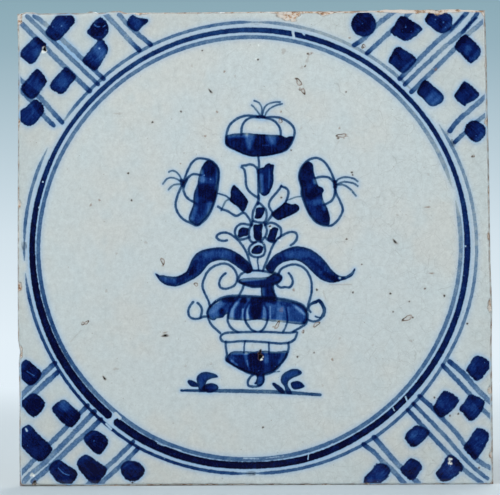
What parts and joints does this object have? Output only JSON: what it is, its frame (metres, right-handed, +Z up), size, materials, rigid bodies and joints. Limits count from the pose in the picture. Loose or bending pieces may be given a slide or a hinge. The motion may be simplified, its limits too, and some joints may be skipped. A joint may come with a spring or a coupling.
{
  "type": "wall tile",
  "caption": "Square tin-glazed earthenware wall tile, painted in blue with a vase of flowers in a ring and crossed lines in the corners, bedded on a wall by its flat back.",
  "frame": {"origin": "middle of the flat back face, which is bedded on the wall", "axes": "+Z up the painted vase, +Y from the painted face back into the wall, +X to the right as seen from the front"},
  "size_m": [0.1306, 0.0082, 0.1314],
  "materials": {
    "clay": "unglazed, matte and slightly rough",
    "tin_glaze": "glossy, finely crazed",
    "cobalt_pale": "glossy, fused into the glaze",
    "cobalt_mid": "glossy, fused into the glaze",
    "cobalt_dark": "glossy, fused into the glaze"
  },
  "bodies": {
    "root": {"clay_body": "clay", "tin_glaze": "tin_glaze", "corner_lines_nw": "cobalt_pale", "corner_lines_ne": "cobalt_pale", "corner_lines_sw": "cobalt_pale", "corner_lines_se": "cobalt_pale", "ring_inner_line": "cobalt_pale", "ring_main_band": "cobalt_dark", "dab_nw_1": "cobalt_dark", "dab_nw_2": "cobalt_dark", "dab_nw_3": "cobalt_dark", "dab_nw_4": "cobalt_dark", "dab_nw_5": "cobalt_dark", "dab_nw_6": "cobalt_dark", "dab_nw_7": "cobalt_dark", "dab_nw_8": "cobalt_dark", "dab_ne_1": "cobalt_dark", "dab_ne_2": "cobalt_dark", "dab_ne_3": "cobalt_dark", "dab_ne_4": "cobalt_dark", "dab_ne_5": "cobalt_dark", "dab_ne_6": "cobalt_dark", "dab_ne_7": "cobalt_dark", "dab_ne_8": "cobalt_dark", "dab_sw_1": "cobalt_dark", "dab_sw_2": "cobalt_dark", "dab_sw_3": "cobalt_dark", "dab_sw_4": "cobalt_dark", "dab_sw_5": "cobalt_dark", "dab_sw_6": "cobalt_dark", "dab_sw_7": "cobalt_dark", "dab_sw_8": "cobalt_dark", "dab_se_1": "cobalt_dark", "dab_se_2": "cobalt_dark", "dab_se_3": "cobalt_dark", "dab_se_4": "cobalt_dark", "dab_se_5": "cobalt_dark", "dab_se_6": "cobalt_dark", "dab_se_7": "cobalt_dark", "dab_se_8": "cobalt_dark", "bouquet_outlines": "cobalt_mid", "vase_outlines": "cobalt_mid", "top_flower_wash": "cobalt_dark", "left_flower_wash": "cobalt_dark", "right_flower_wash": "cobalt_dark", "tulip_petal": "cobalt_dark", "bud_left": "cobalt_dark", "bud_right": "cobalt_dark", "leaf_left": "cobalt_dark", "leaf_right": "cobalt_dark", "vase_neck_wash": "cobalt_dark", "vase_bowl_wash": "cobalt_dark", "vase_foot_wash": "cobalt_dark", "berry_1": "cobalt_dark", "berry_2": "cobalt_dark", "berry_3": "cobalt_dark", "berry_4": "cobalt_dark", "berry_5": "cobalt_dark", "ground_and_grass": "cobalt_mid", "grass_dab_right": "cobalt_dark"}
  },
  "joints": []
}
